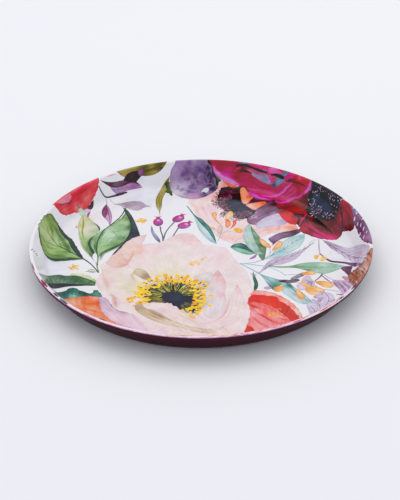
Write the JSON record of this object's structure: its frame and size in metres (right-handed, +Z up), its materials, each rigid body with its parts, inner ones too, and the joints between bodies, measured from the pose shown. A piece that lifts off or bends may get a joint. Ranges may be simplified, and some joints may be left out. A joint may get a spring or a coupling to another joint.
{
  "type": "serving tray",
  "caption": "Round shallow pressed-steel serving tray with a leaning wall, a wired curled edge, a printed floral face under clear lacquer, and a dark lacquered back.",
  "frame": {"origin": "on the surface the tray stands on, under the middle of the tray", "axes": "+Z up along the tray's axis, +Y away from the side the picture is viewed from, +X to the viewer's right"},
  "size_m": [0.35, 0.35, 0.027],
  "materials": {
    "sheet_steel": "plain rolled, hidden under the coats",
    "wire_steel": "drawn, hidden in the curl",
    "white_ground": "white enamel paint",
    "floral_print": "many-coloured watercolour-style print",
    "gloss_lacquer": "clear high gloss",
    "burgundy_lacquer": "satin gloss, dark burgundy"
  },
  "bodies": {
    "root": {"pressed_shell": "sheet_steel", "rim_wire": "wire_steel", "ground_coat": "white_ground", "printed_decoration": "floral_print", "clear_lacquer": "gloss_lacquer", "back_lacquer": "burgundy_lacquer"}
  },
  "joints": []
}
